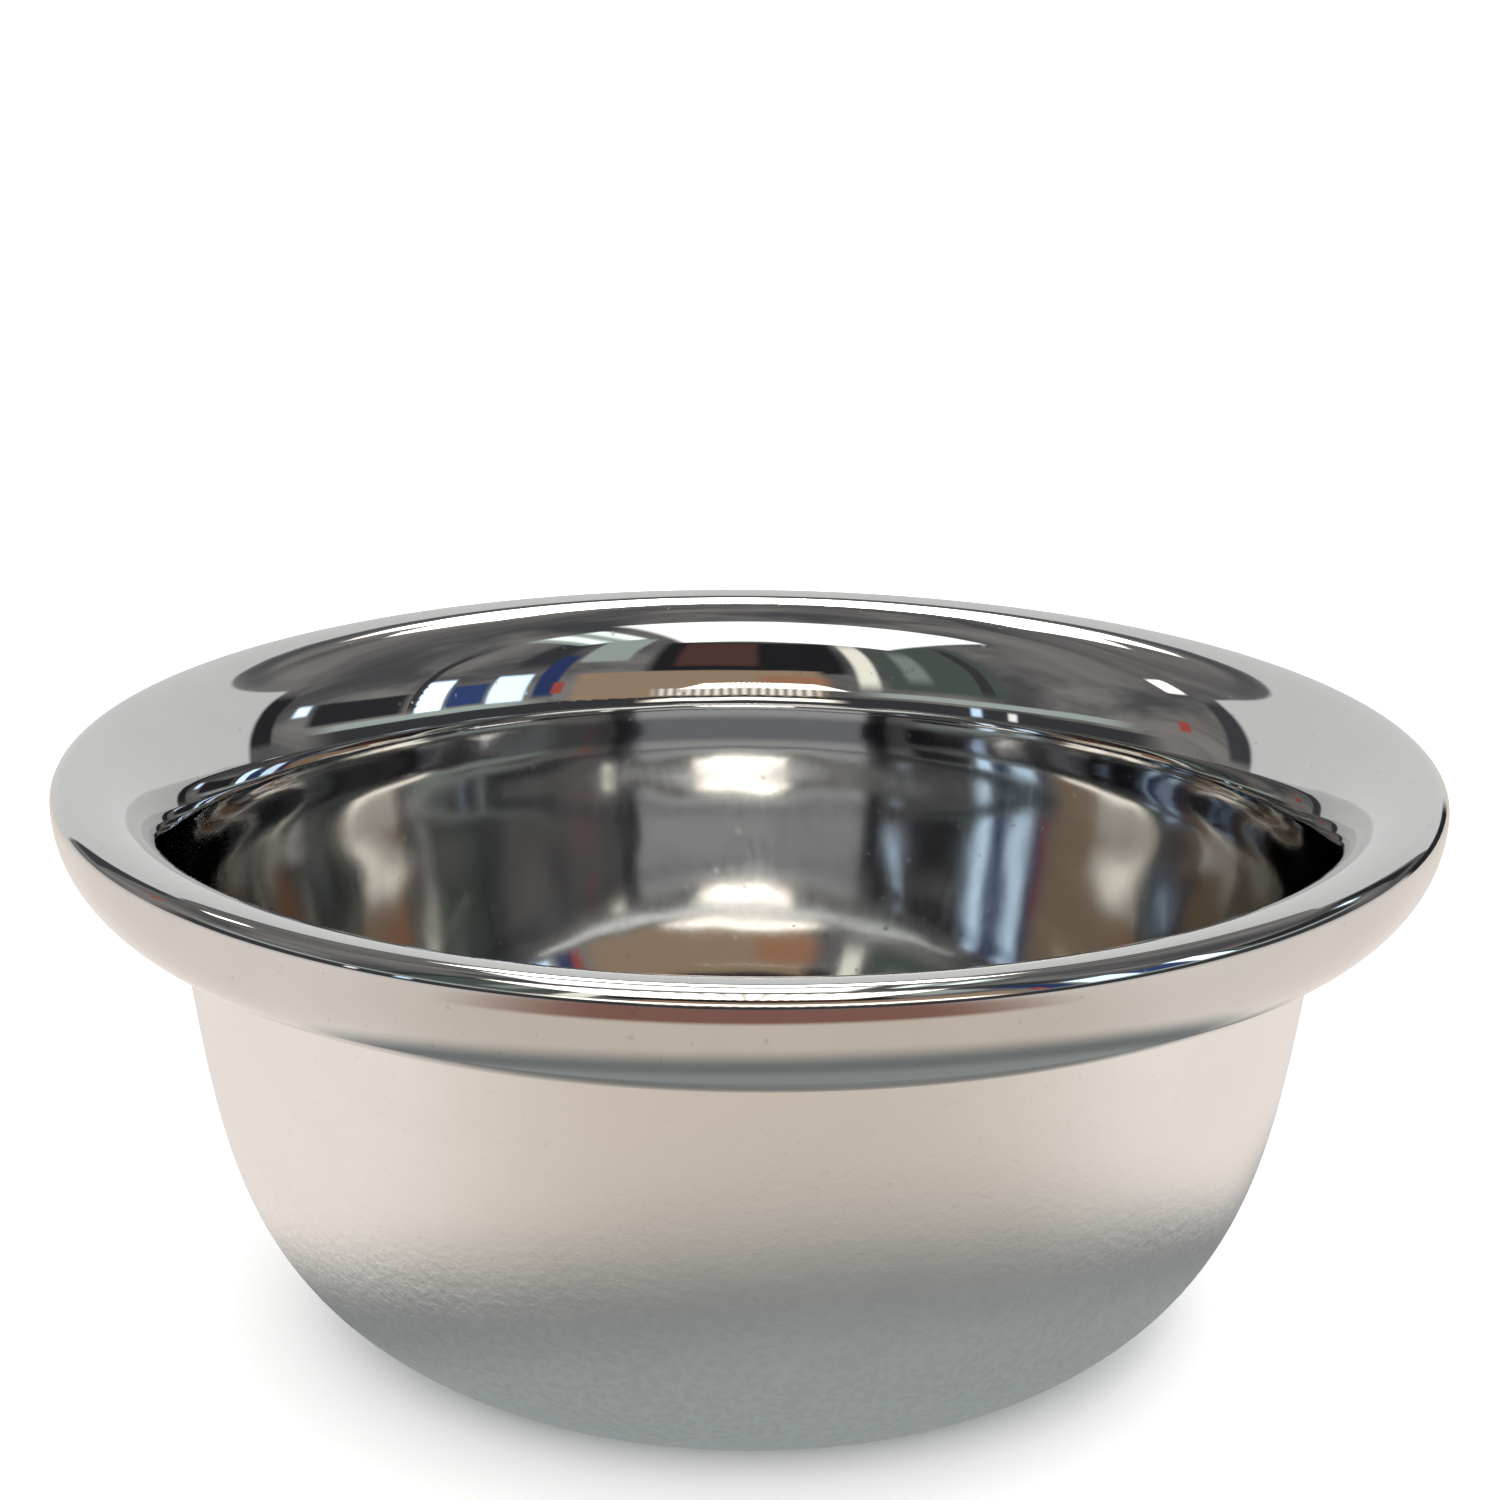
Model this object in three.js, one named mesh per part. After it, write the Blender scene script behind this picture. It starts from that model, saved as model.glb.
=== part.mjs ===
// A shaving bowl of pressed stainless steel, standing on its base.
// Millimetres, +Z up, with the origin at the centre of the base.
//
// The bowl is two pressings. The inner bowl is drawn in one piece with its bell mouth, whose edge is
// rolled down and back under itself. The outer shell is a plain cup around it. Its top edge runs up
// inside the roll, and the curl at the roll's end closes on its neck.
// Each outline is a list of Vector2(radius, height), walked outwards from the axis.
import * as THREE from "three";

// Overall
const RIM_RADIUS = 57.5;
const HEIGHT = 47.6;
const SHEET = 0.45; // thickness of both pressings
const CLEARANCE = 0.35; // between the two pressings at the neck, where they are closest
const SEGMENTS = 64; // facets around the axis

// Inner bowl
const FLOOR_HEIGHT = 3.8; // top of the inner floor
const FLOOR_RADIUS = 25.4; // where the flat floor starts to rise
const FLOOR_REACH = 12.2; // how far its curve runs on outwards from there
const THROAT_RADIUS = 46.7; // where the wall ends and the bell mouth begins
const THROAT_HEIGHT = 37.3;
const THROAT_LEAN = THREE.MathUtils.degToRad(7.5); // from the vertical, opening upwards
const WALL_REACH = 28.3; // how far down the wall keeps towards that slope
const BELL_RISE = 5.9; // how far up the bell mouth keeps towards it
const BELL_REACH = 4.6; // how far in from the crest the bell mouth stays nearly level
const CREST_RADIUS = 55.9; // highest circle of the rim
const EDGE_DROP = 1.6; // from the crest down to the widest point
const ROLL_RADIUS = 49.6; // lowest circle of the roll
const ROLL_HEIGHT = 37.7;
const CURL_RADIUS = 1; // the turn at the end of the roll
const CURL_RETURN = 0.9; // height of the straight cut edge above that turn
const CURL_SPREAD = 0.35; // how far that edge leans away from the neck

// Outer shell
const RECESS_RADIUS = 25.5; // pressed-up middle of the base
const RECESS_DEPTH = 0.6;
const RECESS_SLOPE = 1.2; // width of the step around the recess
const BASE_RADIUS = 32.8; // outer edge of the flat ring that it stands on
const FOOT_REACH = 12.7; // how far the wall's curve runs outwards from the foot
const FOOT_RISE = 7.7; // and upwards
const NECK_LEAN = THREE.MathUtils.degToRad(8.7); // from the vertical, at the throat's height
const NECK_REACH = 16.6; // how far down the wall keeps towards that slope
const LIP_HEIGHT = 40.6; // the top edge, hidden inside the roll
const LIP_FLARE = 0.95; // how far the lip widens above the neck
const LIP_LEAN = THREE.MathUtils.degToRad(24);
const LIP_REACH = 1.4; // length of both handles of the lip's curve

// Straight facets along each curved stretch of outline
const WALL_STEPS = 9;
const BELL_STEPS = 6;
const EDGE_STEPS = 4;
const SKIRT_STEPS = 6;
const CURL_STEPS = 2;
const LIP_STEPS = 2;

const point = (radius, height) => new THREE.Vector2(radius, height);

// A handle along the outline, leaning outwards from the vertical.
const leaning = (angle, length) => point(Math.sin(angle), Math.cos(angle)).multiplyScalar(length);

// A cubic curve that leaves `from` along `start` and reaches `to` along `end`. The lengths of the
// two vectors are the lengths of its handles.
function sweep(from, start, end, to, steps) {
  const curve = new THREE.CubicBezierCurve(from, from.clone().add(start), to.clone().sub(end), to);
  return curve.getSpacedPoints(steps);
}

// A quarter of an ellipse between two angles in degrees, walked clockwise as they fall.
function quarter(centre, width, height, fromDegrees, toDegrees, steps) {
  const from = THREE.MathUtils.degToRad(fromDegrees);
  const to = THREE.MathUtils.degToRad(toDegrees);
  return new THREE.EllipseCurve(centre.x, centre.y, width, height, from, to, true).getPoints(steps);
}

// Stretches of outline in one list, without the points that neighbours share.
function join(...stretches) {
  const outline = [];
  for (const next of stretches.flat()) {
    const last = outline.at(-1);
    if (!last || last.distanceTo(next) > 1e-6) outline.push(next);
  }
  return outline;
}

// The outline moved sideways: to its left where the distance is positive, to its right where not.
function offset(outline, distance) {
  return outline.map((here, i) => {
    const arriving = here.clone().sub(outline[Math.max(i - 1, 0)]).normalize();
    const leaving = outline[Math.min(i + 1, outline.length - 1)].clone().sub(here).normalize();
    const along = arriving.add(leaving).normalize();
    return point(here.x - along.y * distance, here.y + along.x * distance);
  });
}

// A sheet between two faces that both start on the axis, revolved into one solid.
function revolve(lowerFace, upperFace, name, material) {
  const geometry = new THREE.LatheGeometry([...lowerFace, ...upperFace.toReversed()], SEGMENTS);
  geometry.rotateX(Math.PI / 2);
  const mesh = new THREE.Mesh(geometry, material);
  mesh.name = name;
  return mesh;
}

// The polished side of the inner bowl: floor, wall, throat, bell mouth, outer edge, skirt and curl.
function innerFace() {
  const floorEdge = point(FLOOR_RADIUS, FLOOR_HEIGHT);
  const throat = point(THROAT_RADIUS, THROAT_HEIGHT);
  const crest = point(CREST_RADIUS, HEIGHT);
  const edgeHeight = HEIGHT - EDGE_DROP;
  const edgeCentre = point(CREST_RADIUS, edgeHeight);
  const skirtCentre = point(ROLL_RADIUS, edgeHeight);
  const curlCentre = point(ROLL_RADIUS, ROLL_HEIGHT + CURL_RADIUS);
  const wall = sweep(floorEdge, point(FLOOR_REACH, 0), leaning(THROAT_LEAN, WALL_REACH), throat, WALL_STEPS);
  const bellMouth = sweep(throat, leaning(THROAT_LEAN, BELL_RISE), point(BELL_REACH, 0), crest, BELL_STEPS);
  const edge = quarter(edgeCentre, RIM_RADIUS - CREST_RADIUS, EDGE_DROP, 90, 0, EDGE_STEPS);
  const skirt = quarter(skirtCentre, RIM_RADIUS - ROLL_RADIUS, edgeHeight - ROLL_HEIGHT, 0, -90, SKIRT_STEPS);
  const curl = quarter(curlCentre, CURL_RADIUS, CURL_RADIUS, -90, -180, CURL_STEPS);
  const curlEnd = curl.at(-1).clone().add(point(CURL_SPREAD, CURL_RETURN));
  return join([point(0, FLOOR_HEIGHT)], wall, bellMouth, edge, skirt, curl, [curlEnd]);
}

// The outside of the outer shell: recessed base, foot ring, wall, neck and hidden lip.
function outerFace() {
  const acrossBothSheets = (2 * SHEET + CLEARANCE) / Math.cos(THROAT_LEAN);
  const foot = point(BASE_RADIUS, 0);
  const neck = point(THROAT_RADIUS + acrossBothSheets, THROAT_HEIGHT);
  const lipTop = point(neck.x + LIP_FLARE, LIP_HEIGHT);
  const recess = [
    point(0, RECESS_DEPTH),
    point(RECESS_RADIUS, RECESS_DEPTH),
    point(RECESS_RADIUS + RECESS_SLOPE, 0),
  ];
  const wall = sweep(foot, point(FOOT_REACH, FOOT_RISE), leaning(NECK_LEAN, NECK_REACH), neck, WALL_STEPS);
  const lip = sweep(neck, leaning(NECK_LEAN, LIP_REACH), leaning(LIP_LEAN, LIP_REACH), lipTop, LIP_STEPS);
  return join(recess, wall, lip);
}

const mirrorSteel = new THREE.MeshStandardMaterial({ color: 0xc9cac8, roughness: 0.05, metalness: 1 });
const satinSteel = new THREE.MeshStandardMaterial({ color: 0xb9b7b2, roughness: 0.35, metalness: 1 });

const polished = innerFace();
const satin = outerFace();

const shavingBowl = new THREE.Group();
shavingBowl.add(revolve(offset(polished, -SHEET), polished, "inner_bowl", mirrorSteel));
shavingBowl.add(revolve(satin, offset(satin, SHEET), "outer_shell", satinSteel));

export default shavingBowl;
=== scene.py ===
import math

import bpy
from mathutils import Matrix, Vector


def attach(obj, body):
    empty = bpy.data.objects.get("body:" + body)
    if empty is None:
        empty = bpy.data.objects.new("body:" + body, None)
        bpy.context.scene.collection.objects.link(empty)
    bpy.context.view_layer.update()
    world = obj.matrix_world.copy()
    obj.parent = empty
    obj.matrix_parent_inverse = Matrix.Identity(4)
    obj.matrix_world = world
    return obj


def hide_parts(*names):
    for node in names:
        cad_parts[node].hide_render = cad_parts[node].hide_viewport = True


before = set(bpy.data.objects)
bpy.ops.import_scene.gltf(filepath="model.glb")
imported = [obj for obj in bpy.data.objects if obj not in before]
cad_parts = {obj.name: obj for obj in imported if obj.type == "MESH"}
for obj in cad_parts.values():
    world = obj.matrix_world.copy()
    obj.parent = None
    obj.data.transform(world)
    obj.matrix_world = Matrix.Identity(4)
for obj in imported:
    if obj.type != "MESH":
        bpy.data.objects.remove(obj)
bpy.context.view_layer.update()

# A double-walled steel shaving bowl. Both pressings are rebuilt here from their outlines as fine
# surfaces of revolution, finished with procedural metal, and set on a pale floor. Polished metal shows
# what stands around it, so a room of glowing patches that only reflections see is laid out as well.

MM = 0.001
MICRON = 0.000001
SAME_POINT = 0.00001  # points closer than this, in millimetres, are one


# ---------------------------------------------------------------- outlines, in millimetres
RIM_RADIUS = 57.5
HEIGHT = 47.6
SHEET = 0.45
CLEARANCE = 0.35

FLOOR_HEIGHT = 3.8
FLOOR_RADIUS = 25.4
FLOOR_REACH = 12.2
THROAT_RADIUS = 46.7
THROAT_HEIGHT = 37.3
THROAT_LEAN = math.radians(7.5)
WALL_REACH = 28.3
BELL_RISE = 5.9
BELL_REACH = 4.6
CREST_RADIUS = 55.9
EDGE_DROP = 1.6
ROLL_RADIUS = 49.6
ROLL_HEIGHT = 37.7
CURL_RADIUS = 1.0
CURL_RETURN = 0.9
CURL_SPREAD = 0.35
SWELL = 0.25  # the drawn wall swells outwards by this little
SWELL_HEIGHT = 34.4  # at this height
SWELL_BELOW = 4.6  # how far the swelling runs on below
SWELL_ABOVE = 2.0  # and above

RECESS_RADIUS = 25.5
RECESS_DEPTH = 0.6
RECESS_SLOPE = 1.2
RECESS_ROUNDING = 0.5  # how far that slope's curve stays level at both ends
BASE_RADIUS = 32.8
FOOT_REACH = 12.7
FOOT_RISE = 7.7
NECK_LEAN = math.radians(8.7)
NECK_REACH = 16.6
LIP_HEIGHT = 40.6
LIP_FLARE = 0.95
LIP_LEAN = math.radians(24)
LIP_REACH = 1.4

TURN_STEPS = 192  # facets around the axis, a multiple of four so that the box matches the CAD

# Facets along each stretch of outline
FLOOR_STEPS = 14
WALL_STEPS = 90
BELL_STEPS = 40
EDGE_STEPS = 14
SKIRT_STEPS = 26
CURL_STEPS = 6
RECESS_STEPS = 12
SLOPE_STEPS = 6
RING_STEPS = 4
SHELL_STEPS = 56
LIP_STEPS = 8


def leaning(angle, length):
    """A handle in the outline's plane, leaning outwards from the vertical."""
    return Vector((math.sin(angle), math.cos(angle))) * length


def sweep(start, leave, arrive, end, steps):
    """A cubic curve that leaves `start` along one handle and arrives at `end` along the other."""
    a, b = start + leave, end - arrive
    found = []
    for i in range(steps + 1):
        t = i / steps
        s = 1 - t
        found.append(s * s * s * start + 3 * s * s * t * a + 3 * s * t * t * b + t * t * t * end)
    return found


def quarter(centre, width, height, from_degrees, to_degrees, steps):
    """Part of an ellipse between two angles."""
    found = []
    for i in range(steps + 1):
        angle = math.radians(from_degrees + (to_degrees - from_degrees) * i / steps)
        found.append(centre + Vector((width * math.cos(angle), height * math.sin(angle))))
    return found


def straight(start, end, steps):
    """A straight stretch, cut into equal steps."""
    return [start.lerp(end, i / steps) for i in range(steps + 1)]


def join(*stretches):
    """One outline, without the points that neighbouring stretches share."""
    outline = []
    for stretch in stretches:
        for p in stretch:
            if not outline or (outline[-1] - p).length > SAME_POINT:
                outline.append(p)
    return outline


def offset(outline, distance):
    """The outline moved to its left by a distance, or to its right where it is negative."""
    moved = []
    for i, here in enumerate(outline):
        arriving = (here - outline[max(i - 1, 0)]).normalized()
        leaving = (outline[min(i + 1, len(outline) - 1)] - here).normalized()
        along = (arriving + leaving).normalized()
        moved.append(Vector((here.x - along.y * distance, here.y + along.x * distance)))
    return moved


def swollen(outline):
    """The outline with the slight swelling that drawing the wall leaves near its top."""
    moved = []
    for p in outline:
        span = SWELL_ABOVE if p.y > SWELL_HEIGHT else SWELL_BELOW
        away = (p.y - SWELL_HEIGHT) / span
        moved.append(Vector((p.x + SWELL * math.exp(-away * away), p.y)))
    return moved


def inner_face():
    """The polished side: floor, wall, throat, bell mouth, outer edge, skirt and curl."""
    floor_edge = Vector((FLOOR_RADIUS, FLOOR_HEIGHT))
    throat = Vector((THROAT_RADIUS, THROAT_HEIGHT))
    crest = Vector((CREST_RADIUS, HEIGHT))
    edge_height = HEIGHT - EDGE_DROP
    edge_centre = Vector((CREST_RADIUS, edge_height))
    skirt_centre = Vector((ROLL_RADIUS, edge_height))
    curl_centre = Vector((ROLL_RADIUS, ROLL_HEIGHT + CURL_RADIUS))
    bottom = straight(Vector((0, FLOOR_HEIGHT)), floor_edge, FLOOR_STEPS)
    wall = sweep(floor_edge, Vector((FLOOR_REACH, 0)), leaning(THROAT_LEAN, WALL_REACH), throat, WALL_STEPS)
    bell = sweep(throat, leaning(THROAT_LEAN, BELL_RISE), Vector((BELL_REACH, 0)), crest, BELL_STEPS)
    edge = quarter(edge_centre, RIM_RADIUS - CREST_RADIUS, EDGE_DROP, 90, 0, EDGE_STEPS)
    skirt = quarter(skirt_centre, RIM_RADIUS - ROLL_RADIUS, edge_height - ROLL_HEIGHT, 0, -90, SKIRT_STEPS)
    curl = quarter(curl_centre, CURL_RADIUS, CURL_RADIUS, -90, -180, CURL_STEPS)
    curl_end = curl[-1] + Vector((CURL_SPREAD, CURL_RETURN))
    return join(bottom, swollen(wall), swollen(bell), edge, skirt, curl, [curl_end])


def outer_face():
    """The outside of the shell: recessed base, foot ring, wall, neck and hidden lip."""
    across_both_sheets = (2 * SHEET + CLEARANCE) / math.cos(THROAT_LEAN)
    neck = Vector((THROAT_RADIUS + across_both_sheets, THROAT_HEIGHT))
    lip_top = Vector((neck.x + LIP_FLARE, LIP_HEIGHT))
    recess_edge = Vector((RECESS_RADIUS, RECESS_DEPTH))
    ring_edge = Vector((RECESS_RADIUS + RECESS_SLOPE, 0))
    foot = Vector((BASE_RADIUS, 0))
    rounding = Vector((RECESS_ROUNDING, 0))
    recess = straight(Vector((0, RECESS_DEPTH)), recess_edge, RECESS_STEPS)
    slope = sweep(recess_edge, rounding, rounding, ring_edge, SLOPE_STEPS)
    ring = straight(ring_edge, foot, RING_STEPS)
    wall = sweep(foot, Vector((FOOT_REACH, FOOT_RISE)), leaning(NECK_LEAN, NECK_REACH), neck, SHELL_STEPS)
    lip = sweep(neck, leaning(NECK_LEAN, LIP_REACH), leaning(LIP_LEAN, LIP_REACH), lip_top, LIP_STEPS)
    return join(recess, slope, ring, wall, lip)


def placed(name, data):
    """A new object in the scene with that mesh, light or camera."""
    thing = bpy.data.objects.new(name, data)
    bpy.context.scene.collection.objects.link(thing)
    return thing


def add_mesh(name, vertices, faces, material):
    """A new object in the scene with a mesh of one material."""
    mesh = bpy.data.meshes.new(name)
    mesh.from_pydata(vertices, [], faces)
    mesh.materials.append(material)
    return placed(name, mesh)


def revolve(name, lower, upper, replaced, material):
    """A sheet between two faces that start on the axis, revolved into one closed smooth mesh."""
    outline = lower + upper[::-1]
    vertices = []
    rings = []
    for p in outline:
        if p.x < SAME_POINT:
            rings.append([len(vertices)] * TURN_STEPS)
            vertices.append((0.0, 0.0, p.y * MM))
            continue
        rings.append(list(range(len(vertices), len(vertices) + TURN_STEPS)))
        for i in range(TURN_STEPS):
            turn = 2 * math.pi * i / TURN_STEPS
            vertices.append((p.x * MM * math.cos(turn), p.x * MM * math.sin(turn), p.y * MM))
    faces = []
    for this, following in zip(rings, rings[1:]):
        for i in range(TURN_STEPS):
            j = (i + 1) % TURN_STEPS
            corners = (this[i], this[j], following[j], following[i])
            faces.append(tuple(dict.fromkeys(corners)))
    piece = add_mesh(name, vertices, faces, material)
    piece.data.shade_smooth()
    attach(piece, "root")
    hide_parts(replaced)


# ---------------------------------------------------------------- node helpers
class Nodes:
    """Short ways to add nodes to one material's tree."""

    def __init__(self, name):
        self.material = bpy.data.materials.new(name)
        self.material.use_nodes = True
        self.tree = self.material.node_tree
        self.tree.nodes.clear()

    def add(self, kind, **settings):
        node = self.tree.nodes.new(kind)
        for key, value in settings.items():
            setattr(node, key, value)
        return node

    def feed(self, socket, value):
        """Links a socket's source, or sets its value."""
        if isinstance(value, bpy.types.NodeSocket):
            self.tree.links.new(value, socket)
        else:
            socket.default_value = value

    def math(self, operation, *values):
        node = self.add("ShaderNodeMath", operation=operation)
        for socket, value in zip(node.inputs, values):
            self.feed(socket, value)
        return node.outputs[0]

    def plus(self, value, share, other):
        """A value with a share of another added to it."""
        return self.math("ADD", value, self.math("MULTIPLY", share, other))

    def ramp(self, value, low, high, start=0.0, end=1.0):
        """A smooth step of a value from `start` at low to `end` at high."""
        node = self.add("ShaderNodeMapRange", interpolation_type="SMOOTHSTEP")
        for socket, given in zip(node.inputs, (value, low, high, start, end)):
            self.feed(socket, given)
        return node.outputs[0]

    def mix(self, factor, first, second):
        """Blends two colours."""
        node = self.add("ShaderNodeMix", data_type="RGBA")
        self.feed(node.inputs[0], factor)
        self.feed(node.inputs[6], first)
        self.feed(node.inputs[7], second)
        return node.outputs[2]

    def noise(self, coordinates, scale, detail, roughness, distortion=0.0):
        node = self.add("ShaderNodeTexNoise")
        self.feed(node.inputs["Vector"], coordinates)
        self.feed(node.inputs["Scale"], scale)
        self.feed(node.inputs["Detail"], detail)
        self.feed(node.inputs["Roughness"], roughness)
        self.feed(node.inputs["Distortion"], distortion)
        return node.outputs["Fac"]

    def bump(self, height, depth, normal=None):
        """Bumps of a depth in metres, over another bump's normal where one is given."""
        node = self.add("ShaderNodeBump")
        self.feed(node.inputs["Strength"], 1.0)
        self.feed(node.inputs["Distance"], depth)
        self.feed(node.inputs["Height"], height)
        if normal is not None:
            self.feed(node.inputs["Normal"], normal)
        return node.outputs["Normal"]

    def separate(self, vector):
        """A vector's three parts."""
        node = self.add("ShaderNodeSeparateXYZ")
        self.feed(node.inputs[0], vector)
        return node.outputs

    def places(self):
        """Object coordinates, the radius from the axis and the height, all in millimetres."""
        scaled = self.add("ShaderNodeVectorMath", operation="SCALE")
        self.feed(scaled.inputs[0], self.add("ShaderNodeTexCoord").outputs["Object"])
        self.feed(scaled.inputs["Scale"], 1 / MM)
        x, y, z = self.separate(scaled.outputs[0])
        radius = self.math("SQRT", self.math("ADD", self.math("MULTIPLY", x, x), self.math("MULTIPLY", y, y)))
        return scaled.outputs[0], radius, z

    def stretched(self, coordinates, across, upwards):
        """Coordinates scaled apart, to draw a pattern out along the axis or around it."""
        node = self.add("ShaderNodeVectorMath", operation="MULTIPLY")
        self.feed(node.inputs[0], coordinates)
        self.feed(node.inputs[1], (across, across, upwards))
        return node.outputs[0]

    def emission(self, colour, strength):
        node = self.add("ShaderNodeEmission")
        self.feed(node.inputs["Color"], colour)
        self.feed(node.inputs["Strength"], strength)
        return node.outputs[0]

    def steel(self, colour, roughness, normal):
        """Bare metal with its colour, roughness and bumps given."""
        node = self.add("ShaderNodeBsdfPrincipled")
        self.feed(node.inputs["Metallic"], 1.0)
        self.feed(node.inputs["Base Color"], colour)
        self.feed(node.inputs["Roughness"], roughness)
        self.feed(node.inputs["Normal"], normal)
        return self.surface(node.outputs[0])

    def surface(self, shader):
        """The finished material, with that shader as its surface."""
        output = self.add("ShaderNodeOutputMaterial")
        self.feed(output.inputs["Surface"], shader)
        return self.material


# ---------------------------------------------------------------- metals
POLISHED = (0.60, 0.60, 0.595, 1)
POLISHED_LIGHT = (0.66, 0.655, 0.645, 1)
POLISHED_INSIDE = (0.54, 0.54, 0.535, 1)
# painted shade: the darker tone of the band under the throat, standing in for a dark reflection
PAINTED_THROAT_SHADE = (0.29, 0.295, 0.32, 1)
POLISHED_SPECK = (0.42, 0.40, 0.38, 1)
SATIN = (0.76, 0.755, 0.75, 1)
SATIN_LIGHT = (0.87, 0.865, 0.855, 1)
# painted highlight: the near-white tone of pebble tops lightened as if catching the light
PAINTED_PEBBLE_HIGHLIGHT = (0.98, 0.98, 0.975, 1)
SATIN_SPECK = (0.55, 0.53, 0.51, 1)

# Radii or heights between which a finish or the painted shade fades in or out, in millimetres
INSIDE_FADES_OUT = (46.2, 47.0)
PAINTED_SHADE_FADES_IN = (34.2, 35.0)
PAINTED_SHADE_FADES_OUT = (36.6, 37.4)
COARSENESS_FADES_OUT = (6.0, 24.0)

# Values of a noise between which the marks and painted highlights drawn from it fade in
POLISHED_SPECKS = (0.735, 0.78)
SATIN_SPECKS = (0.70, 0.75)
PAINTED_HIGHLIGHT_TOPS = (0.38, 0.62)

# Roughness where a finish is smoothest, and what is added to the rim's inside the bowl
RIM_ROUGHNESS = 0.022
ADDED_INSIDE = 0.025
SATIN_ROUGHNESS = 0.27


def mirror_steel():
    """Polished sheet: a sharp mirror on the rim and flange, softer and lightly wiped inside, with a darker
    band under the throat that is painted shade, standing in for a dark reflection there."""
    n = Nodes("mirror_steel")
    place, radius, height = n.places()
    inside = n.ramp(radius, *INSIDE_FADES_OUT, 1.0, 0.0)
    painted_throat_shade = n.math("MULTIPLY", n.ramp(height, *PAINTED_SHADE_FADES_IN), n.ramp(height, *PAINTED_SHADE_FADES_OUT, 1.0, 0.0))
    cloud = n.noise(place, scale=0.16, detail=3.0, roughness=0.55)
    wiping = n.noise(n.stretched(place, across=1.6, upwards=0.12), scale=1.0, detail=3.0, roughness=0.6)
    specks = n.ramp(n.noise(place, scale=1.15, detail=1.0, roughness=0.4), *POLISHED_SPECKS)
    ripple = n.noise(place, scale=0.11, detail=1.0, roughness=0.4)
    peel = n.noise(place, scale=1.3, detail=2.0, roughness=0.5)
    rough_rim = n.plus(RIM_ROUGHNESS, 0.02, cloud)
    rough_inside = n.plus(ADDED_INSIDE, 0.06, wiping)
    rough = n.plus(n.plus(rough_rim, inside, rough_inside), 0.09, specks)
    tint = n.mix(inside, n.mix(cloud, POLISHED, POLISHED_LIGHT), POLISHED_INSIDE)
    # painted shade: the band under the throat is darkened to stand in for the dark reflection there
    tint = n.mix(painted_throat_shade, tint, PAINTED_THROAT_SHADE)
    tint = n.mix(n.math("MULTIPLY", specks, 0.35), tint, POLISHED_SPECK)
    waved = n.bump(ripple, n.plus(35 * MICRON, 60 * MICRON, inside))
    normal = n.bump(peel, n.math("MULTIPLY", inside, 0.8 * MICRON), normal=waved)
    return n.steel(tint, rough, normal)


def satin_steel():
    """Drawn sheet left satin: a fine pebbled grain that coarsens towards the base, its tops there lightened
    as painted highlights.
    """
    n = Nodes("satin_steel")
    place, _, height = n.places()
    coarse = n.ramp(height, *COARSENESS_FADES_OUT, 1.0, 0.0)
    pebbles = n.noise(place, scale=1.4, detail=2.0, roughness=0.55)
    grain = n.noise(place, scale=5.5, detail=1.0, roughness=0.5)
    clouded = n.stretched(place, across=0.07, upwards=0.12)
    cloud = n.noise(clouded, scale=1.0, detail=4.0, roughness=0.6, distortion=0.6)
    specks = n.ramp(n.noise(place, scale=1.6, detail=1.0, roughness=0.4), *SATIN_SPECKS)
    rough = n.plus(n.plus(SATIN_ROUGHNESS, 0.08, cloud), 0.06, coarse)
    # painted highlight: the pebble tops near the base are lightened as if they catch the light
    painted_highlight = n.math("MULTIPLY", n.math("MULTIPLY", coarse, n.ramp(pebbles, *PAINTED_HIGHLIGHT_TOPS)), 0.45)
    tint = n.mix(painted_highlight, n.mix(cloud, SATIN, SATIN_LIGHT), PAINTED_PEBBLE_HIGHLIGHT)
    tint = n.mix(n.math("MULTIPLY", specks, 0.15), tint, SATIN_SPECK)
    pebbled = n.bump(pebbles, n.plus(12 * MICRON, 130 * MICRON, coarse))
    normal = n.bump(grain, 6 * MICRON, normal=pebbled)
    return n.steel(tint, rough, normal)


def build_bowl():
    """Both pressings, each with its sheet's thickness on the hidden side."""
    polished = inner_face()
    satin = outer_face()
    polished_back = offset(polished, -SHEET)
    satin_back = offset(satin, SHEET)
    revolve("inner_bowl_fine", polished_back, polished, "inner_bowl", mirror_steel())
    revolve("outer_shell_fine", satin, satin_back, "outer_shell", satin_steel())


# ---------------------------------------------------------------- studio, in metres
CENTRE = Vector((0, 0, 0.045))  # the point that the patches are laid out around
PATCH_STEP = 4  # degrees across one facet of a patch, at most
LAMP_STRENGTH = 2  # a patch at least this strong is sampled as a light
BEAD_SWING = 0.6  # how far the beads of a lamp rise above and fall below its strength

FLOOR_HALF = 6.0
TABLE_HALF = 4.5
FLOOR_DROP = 20 * MICRON  # how far below the bowl's base each lies, so that no two faces coincide
TABLE_DROP = 10 * MICRON
TABLE_SHIFT = 6 * MM  # how far to the side of the bowl's axis the shade lies

# Distances from the middle of the table between which its colours change, in millimetres
SHADE_DARKENS = (49, 60)
SHADE_ENDS = (62, 86)
FRONT_BEGINS = (125, 140)
FAR_BEGINS = (250, 700)

FLOOR_GREY = (0.9, 0.9, 0.9, 1)
TABLE_CENTRE = (0.32, 0.35, 0.35, 1)
TABLE_SHADE = (0.22, 0.24, 0.24, 1)
TABLE_SIDES = (0.96, 0.88, 0.82, 1)
TABLE_ENDS = (0.77, 0.68, 0.585, 1)
TABLE_FAR = (0.75, 0.72, 0.70, 1)
TABLE_FRONT = (0.30, 0.15, 0.12, 1)
ROOM_DARK = (0.10, 0.098, 0.105, 1)
ROOM_LIGHT = (0.30, 0.285, 0.27, 1)

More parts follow.
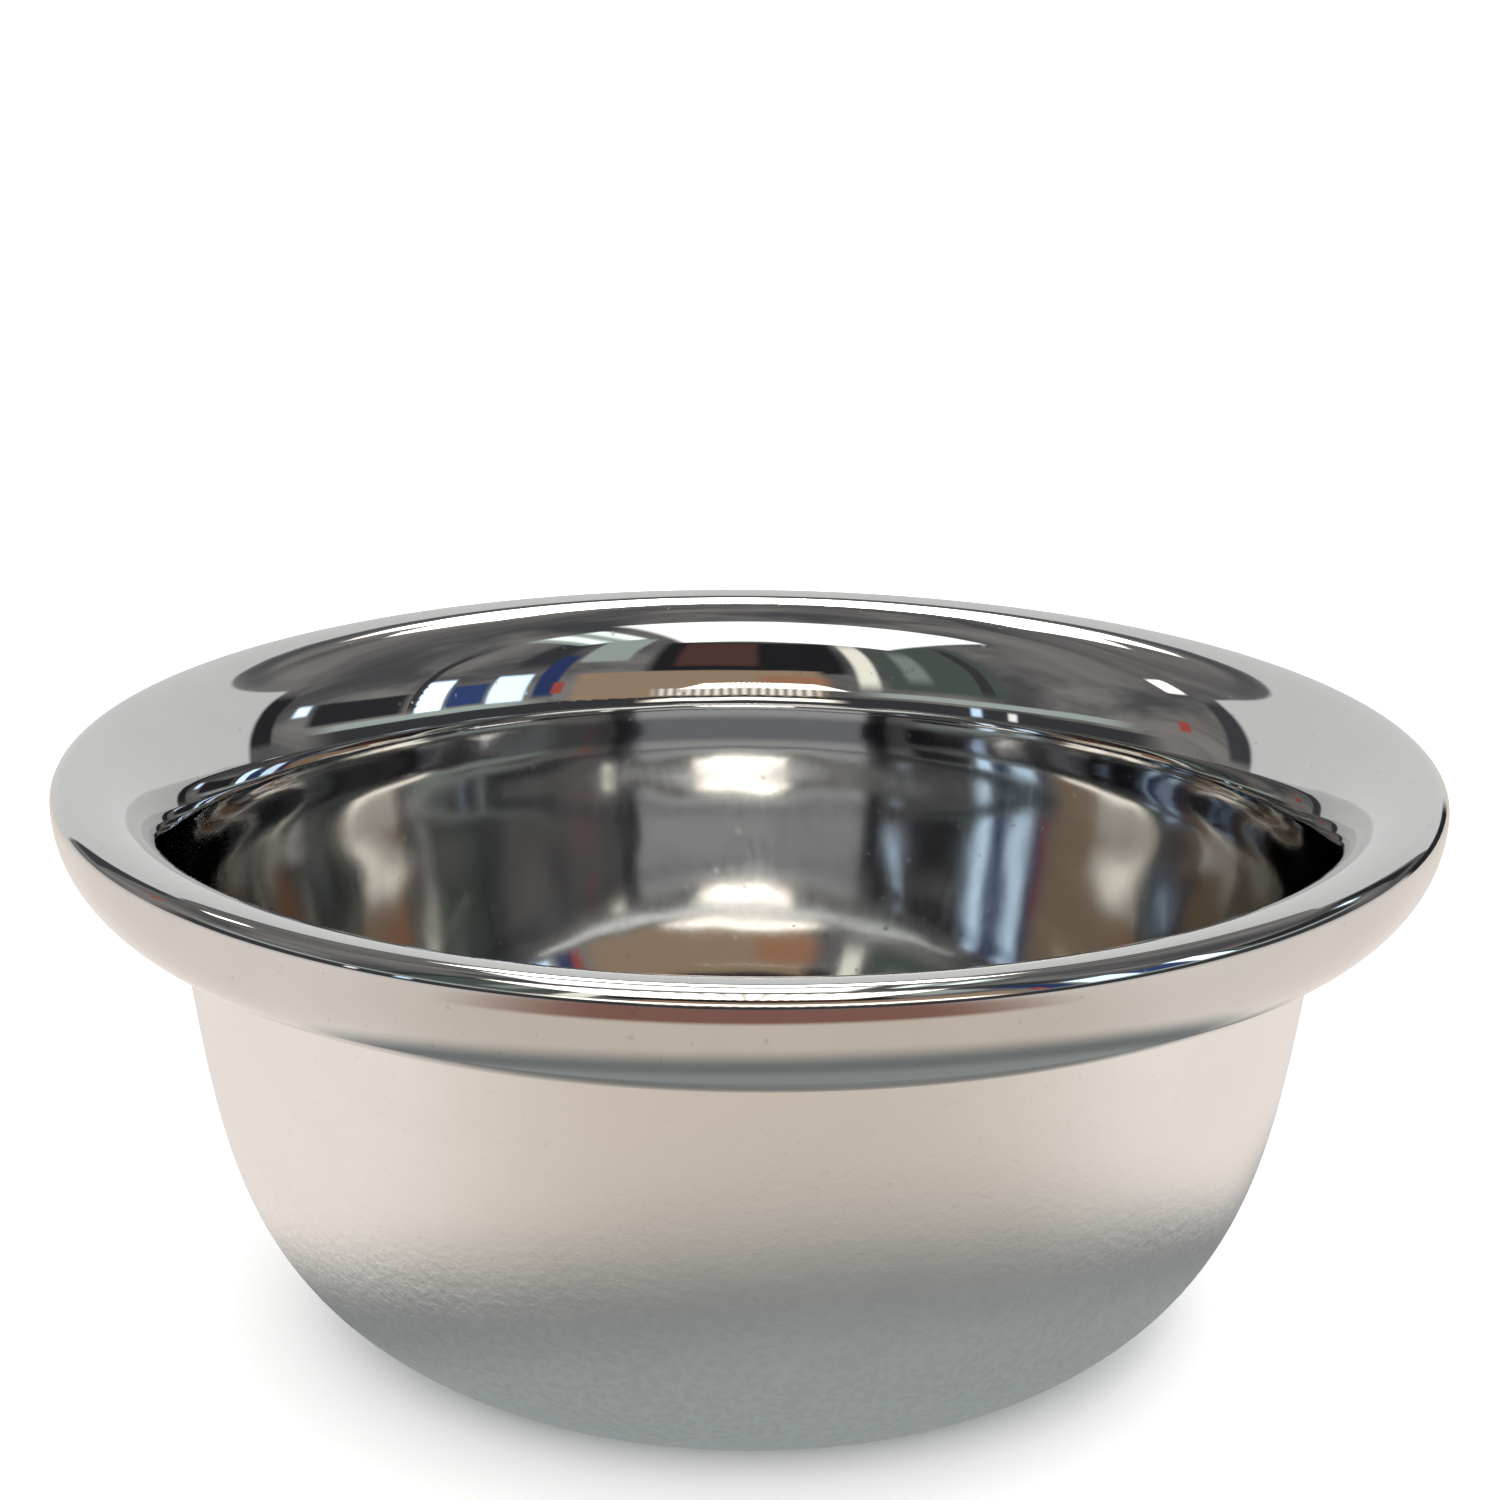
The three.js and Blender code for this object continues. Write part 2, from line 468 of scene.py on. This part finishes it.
WHITE = (1.0, 1.0, 0.98)
WARM_WHITE = (1.0, 0.93, 0.82)
YELLOW_WHITE = (1.0, 0.97, 0.84)
BLUE_WHITE = (0.62, 0.80, 1.0)
NAVY = (0.035, 0.06, 0.17)
NEAR_BLACK = (0.020, 0.020, 0.023)
DARK_GREY = (0.055, 0.057, 0.063)
GREEN_GREY = (0.10, 0.125, 0.112)
PALE_GREEN = (0.50, 0.58, 0.54)
BACKDROP = (0.78, 0.79, 0.78)
BROWN = (0.115, 0.058, 0.050)
TAN = (0.43, 0.31, 0.21)
ORANGE = (0.48, 0.24, 0.14)
RED = (0.48, 0.10, 0.08)


def reflection_only(thing):
    """Leaves a thing to be seen in reflections alone, as part of the surroundings."""
    thing.visible_camera = False
    thing.visible_diffuse = False
    thing.visible_shadow = False


def square(name, half, height, material):
    """A level square around the axis."""
    corners = [(-half, -half, 0), (half, -half, 0), (half, half, 0), (-half, half, 0)]
    plane = add_mesh(name, corners, [(0, 1, 2, 3)], material)
    plane.location.z = height
    return plane


def floor():
    """The wide pale floor that the camera sees, left out of the metal's reflections."""
    n = Nodes("floor")
    shader = n.add("ShaderNodeBsdfDiffuse")
    n.feed(shader.inputs["Color"], FLOOR_GREY)
    plane = square("floor", FLOOR_HALF, -FLOOR_DROP, n.surface(shader.outputs[0]))
    plane.visible_glossy = False


def table_top():
    """The table that the metal reflects instead: shaded under the bowl and pale around it, with a
    red-brown area further out in front."""
    n = Nodes("table_top")
    place, radius, _ = n.places()
    forward = n.math("DIVIDE", n.math("MULTIPLY", n.separate(place)[1], -1.0), radius)
    along = n.math("ABSOLUTE", forward)  # 1 straight in front and behind, 0 at the sides
    reach = n.math("MULTIPLY", radius, n.plus(1.5, -0.5, along))  # the shade is narrower at the sides
    shade = n.mix(n.ramp(reach, *SHADE_DARKENS), TABLE_CENTRE, TABLE_SHADE)
    pale = n.mix(n.ramp(along, 0.45, 0.95), TABLE_SIDES, TABLE_ENDS)
    cloth = n.mix(n.ramp(reach, *SHADE_ENDS), shade, pale)
    cloth = n.mix(n.ramp(radius, *FAR_BEGINS), cloth, TABLE_FAR)
    front = n.math("MULTIPLY", n.ramp(forward, 0.72, 0.95), n.ramp(radius, *FRONT_BEGINS))
    shader = n.emission(n.mix(front, cloth, TABLE_FRONT), 1.0)
    n.material.cycles.emission_sampling = "NONE"
    table = square("table_top", TABLE_HALF, -TABLE_DROP, n.surface(shader))
    table.location.x = TABLE_SHIFT
    reflection_only(table)


def room():
    """The dim ceiling and walls, as a big half sphere that only reflections see."""
    radius, turns, levels = 5.0, 48, 16
    vertices = []
    for level in range(levels):
        up = math.pi / 2 * level / levels
        reach = radius * math.cos(up)
        for i in range(turns):
            turn = 2 * math.pi * i / turns
            vertices.append((reach * math.cos(turn), reach * math.sin(turn), radius * math.sin(up)))
    top = len(vertices)
    vertices.append((0, 0, radius))
    faces = []
    for level in range(levels - 1):
        for i in range(turns):
            a, b = level * turns + i, level * turns + (i + 1) % turns
            faces.append((a, b, b + turns, a + turns))
    last = (levels - 1) * turns
    faces += [(last + i, last + (i + 1) % turns, top) for i in range(turns)]
    n = Nodes("room")
    source = n.add("ShaderNodeTexCoord").outputs["Object"]
    patches = n.noise(source, scale=0.35, detail=3.0, roughness=0.6, distortion=1.0)
    shader = n.emission(n.mix(n.ramp(patches, 0.3, 0.7), ROOM_DARK, ROOM_LIGHT), 1.0)
    n.material.cycles.emission_sampling = "NONE"
    reflection_only(add_mesh("room", vertices, faces, n.surface(shader)))


def glow(name, colour, strength, soft, beads):
    """An emitting surface with softened edges, and with bright beads along it where asked."""
    n = Nodes(name)
    across, up, _ = n.separate(n.add("ShaderNodeTexCoord").outputs["UV"])
    level = strength
    if beads:
        wave = n.math("SINE", n.math("MULTIPLY", across, 2 * math.pi * beads))
        level = n.math("MULTIPLY", n.plus(1.0, BEAD_SWING, wave), strength)
    seen = 1.0
    for place in (across, up):
        from_edge = n.math("MINIMUM", place, n.math("SUBTRACT", 1.0, place))
        seen = n.math("MULTIPLY", seen, n.ramp(from_edge, 0.0, soft))
    blend = n.add("ShaderNodeMixShader")
    n.feed(blend.inputs[0], seen)
    n.feed(blend.inputs[1], n.add("ShaderNodeBsdfTransparent").outputs[0])
    n.feed(blend.inputs[2], n.emission((*colour, 1), level))
    if strength < LAMP_STRENGTH:
        n.material.cycles.emission_sampling = "NONE"
    return n.surface(blend.outputs[0])


def add_patch(name, vertices, places, faces, material):
    """A mesh that only reflections see, with each vertex's place across and up it from 0 to 1."""
    made = add_mesh(name, vertices, faces, material)
    layer = made.data.uv_layers.new(name="UVMap")
    for loop, uv in zip(made.data.loops, layer.data):
        uv.uv = places[loop.vertex_index]
    reflection_only(made)


def panel(name, xs, front, back, colour, strength, soft, beads=0):
    """A flat rectangle above the bowl, between a front and a back edge that are each a (y, z)."""
    vertices = [(xs[0], *front), (xs[1], *front), (xs[1], *back), (xs[0], *back)]
    places = [(0, 0), (1, 0), (1, 1), (0, 1)]
    add_patch(name, vertices, places, [(0, 1, 2, 3)], glow(name, colour, strength, soft, beads))


def patch(name, azimuths, elevations, colour, strength=1.0, distance=1.5, soft=0.15, beads=0):
    """Part of a sphere around the bowl, between two azimuths and two elevations in degrees. Azimuth 0
    is the side that the camera is on, and the azimuth grows towards +X."""
    columns = max(2, math.ceil((azimuths[1] - azimuths[0]) / PATCH_STEP))
    rows = max(2, math.ceil((elevations[1] - elevations[0]) / PATCH_STEP))
    vertices = []
    places = []
    for j in range(rows + 1):
        up = j / rows
        elevation = math.radians(elevations[0] + (elevations[1] - elevations[0]) * up)
        reach, rise = distance * math.cos(elevation), distance * math.sin(elevation)
        for i in range(columns + 1):
            across = i / columns
            azimuth = math.radians(azimuths[0] + (azimuths[1] - azimuths[0]) * across)
            vertices.append(CENTRE + Vector((math.sin(azimuth) * reach, -math.cos(azimuth) * reach, rise)))
            places.append((across, up))
    faces = []
    for j in range(rows):
        for i in range(columns):
            first = j * (columns + 1) + i
            faces.append((first, first + 1, first + columns + 2, first + columns + 1))
    add_patch(name, vertices, places, faces, glow(name, colour, strength, soft, beads))


def behind_the_bowl():
    """The pale backdrop with its dark posts, and the row of lamps over it."""
    patch("backdrop", (129, 231), (-4, 38), BACKDROP, distance=0.7, soft=0.02)
    patch("backdrop_edge", (128, 234), (37, 44), DARK_GREY, 2.0, distance=0.72, soft=0.45)
    patch("strip_light", (156, 208), (52, 61), WARM_WHITE, 11.0, distance=1.2, soft=0.10, beads=22)
    patch("strip_middle", (166, 198), (45, 54), WARM_WHITE, 9.0, distance=1.2, soft=0.15)
    patch("end_lamp", (240, 248), (38, 46), WARM_WHITE, 6.0, distance=1.2, soft=0.3)
    patch("left_post", (226, 240), (6, 38), DARK_GREY, 1.2)
    patch("right_post", (120, 130), (10, 36), NEAR_BLACK, 1.5)
    patch("dark_corner", (116, 146), (-12, 7), NEAR_BLACK, 1.4, distance=0.5)
    patch("left_sign", (250, 254), (18, 24), RED)


def ceiling():
    """Ceiling panels over the bowl, a lamp just in front of its rim, and shaded roof on both sides."""
    panel("ceiling_panel", (-0.084, 0.040), (-0.075, 0.25), (0.032, 0.25), WHITE, 2.0, soft=0.05)
    side_front, side_back = (-0.045, 0.25), (0.015, 0.25)
    panel("ceiling_panel_side", (0.046, 0.090), side_front, side_back, PALE_GREEN, 2.2, soft=0.12, beads=2)
    lamp_front, lamp_back = (-0.113, 0.106), (-0.062, 0.075)
    panel("edge_lamp", (-0.036, 0.026), lamp_front, lamp_back, WARM_WHITE, 3.0, soft=0.05, beads=24)
    patch("right_roof", (46, 130), (68, 80), DARK_GREY, 1.5, distance=1.7, soft=0.3)
    patch("left_roof", (-95, -50), (60, 74), DARK_GREY, 1.6, distance=1.7, soft=0.3)


def left_of_the_camera():
    """A greenish window wall with a dark bar, a pale pane and a bright gap in it."""
    patch("window_wall", (-63, -30), (18, 62), GREEN_GREY, distance=1.5, soft=0.12)
    patch("window_bar", (-58, -54), (20, 60), DARK_GREY, distance=1.4)
    patch("bright_gap", (-31, -24), (16, 64), YELLOW_WHITE, 1.3, distance=1.4, soft=0.25)
    patch("pale_pane", (-44, -36), (24, 56), PALE_GREEN, 0.6, distance=1.4, soft=0.3)


def around_the_camera():
    """Dark, brown and tan areas over a lit shelf, all plain and blurred, and a small low lamp."""
    patch("dark_clothes", (-25, 27), (30, 61), NEAR_BLACK, 1.2, distance=1.3, soft=0.08)
    patch("brown_middle", (-3, 20), (36, 60), BROWN, distance=1.2, soft=0.12)
    patch("pane_right", (30, 45), (42, 65), PALE_GREEN, 0.9, distance=1.3, soft=0.12)
    patch("wood_panel", (-18, 43), (11, 34), TAN, distance=1.25, soft=0.06)
    patch("wood_end", (-20, 0), (19, 30), ORANGE, distance=1.2, soft=0.25)
    patch("beaded_shelf", (-18, 24), (12.5, 19), WARM_WHITE, 0.9, distance=1.1, soft=0.12, beads=20)
    panel("low_lamp", (-0.050, 0.060), (-0.100, 0.059), (-0.100, 0.067), WARM_WHITE, 3.0, soft=0.2)


def right_of_the_camera():
    """Blue-white windows between navy shelves and dark frames."""
    patch("navy_column", (45, 51), (14, 52), NAVY, distance=1.4)
    patch("red_sign", (43.5, 46.5), (18, 28), RED, distance=1.3)
    patch("dark_frame", (46, 62), (36, 66), DARK_GREY, distance=1.6, soft=0.3)
    patch("window", (52, 62), (14, 36), BLUE_WHITE, 2.4, distance=1.4, soft=0.12)
    patch("navy_shelf", (62, 72), (16, 31), NAVY, 1.4, distance=1.4, soft=0.1)
    patch("tall_window", (72, 80), (12, 36), BLUE_WHITE, 3.0, distance=1.4, soft=0.12)
    patch("tall_frame", (79, 82), (14, 56), DARK_GREY, distance=1.4)
    patch("shelf_back", (81, 112), (16, 29), NEAR_BLACK, 1.8, distance=1.4, soft=0.12)
    patch("side_lamp", (111, 117), (22, 29), BLUE_WHITE, 2.5, distance=1.3, soft=0.3)


def low_wall():
    """A pale ledge all round the front, over a dark base with a few bright gaps."""
    patch("ledge_left", (-98, -20), (14, 18.5), PALE_GREEN, distance=1.2, soft=0.2)
    patch("ledge_right", (46, 112), (12, 16), PALE_GREEN, distance=1.2, soft=0.2)
    patch("dark_base", (-104, 112), (1, 13), DARK_GREY, distance=1.25, soft=0.06)
    patch("gap_left", (-62, -59), (5, 13), WHITE, 1.4, distance=1.1, soft=0.3)
    patch("gap_right", (-53.5, -50), (5, 14), BLUE_WHITE, 1.6, distance=1.1, soft=0.3)


def lights():
    """Even daylight and a broad sun overhead, which light the floor and are not reflected by the metal."""
    world = bpy.data.worlds.new("daylight")
    bpy.context.scene.world = world
    world.use_nodes = True
    background = world.node_tree.nodes["Background"]
    background.inputs["Color"].default_value = (1, 1, 1, 1)
    background.inputs["Strength"].default_value = 2.0
    world.cycles_visibility.glossy = False
    sun = bpy.data.lights.new("key", "SUN")
    sun.energy = 1.4
    sun.angle = math.radians(50)
    sun.color = (1, 0.98, 0.95)
    key = placed("key", sun)
    key.rotation_euler = (math.radians(-12), math.radians(14), 0)
    key.visible_glossy = False


def camera():
    """The view from 28 cm away, looking down over the rim."""
    distance = 0.27512  # from the middle of the bowl to the eye
    middle_height = 0.025
    rise = math.radians(20.94)  # how far up the eye is from the middle
    lift = math.radians(4.47)  # how far above the middle it looks
    roll = math.radians(0.51)
    pitch = lift - rise
    forward = Vector((0, math.cos(pitch), math.sin(pitch)))
    right = Vector((1, 0, 0))
    up = right.cross(forward)
    x_axis = right * math.cos(roll) + up * math.sin(roll)
    y_axis = up * math.cos(roll) - right * math.sin(roll)
    data = bpy.data.cameras.new("camera")
    data.lens = 76.8
    data.sensor_width = 36.0
    data.clip_start = 0.01
    data.clip_end = 50
    eye = placed("camera", data)
    turn = Matrix((x_axis, y_axis, -forward)).transposed().to_4x4()
    place = Vector((0, -distance * math.cos(rise), middle_height + distance * math.sin(rise)))
    eye.matrix_world = Matrix.Translation(place) @ turn
    bpy.context.scene.camera = eye


build_bowl()
floor()
table_top()
room()
behind_the_bowl()
ceiling()
left_of_the_camera()
around_the_camera()
right_of_the_camera()
low_wall()
lights()
camera()
bpy.context.scene.view_settings.view_transform = "Standard"
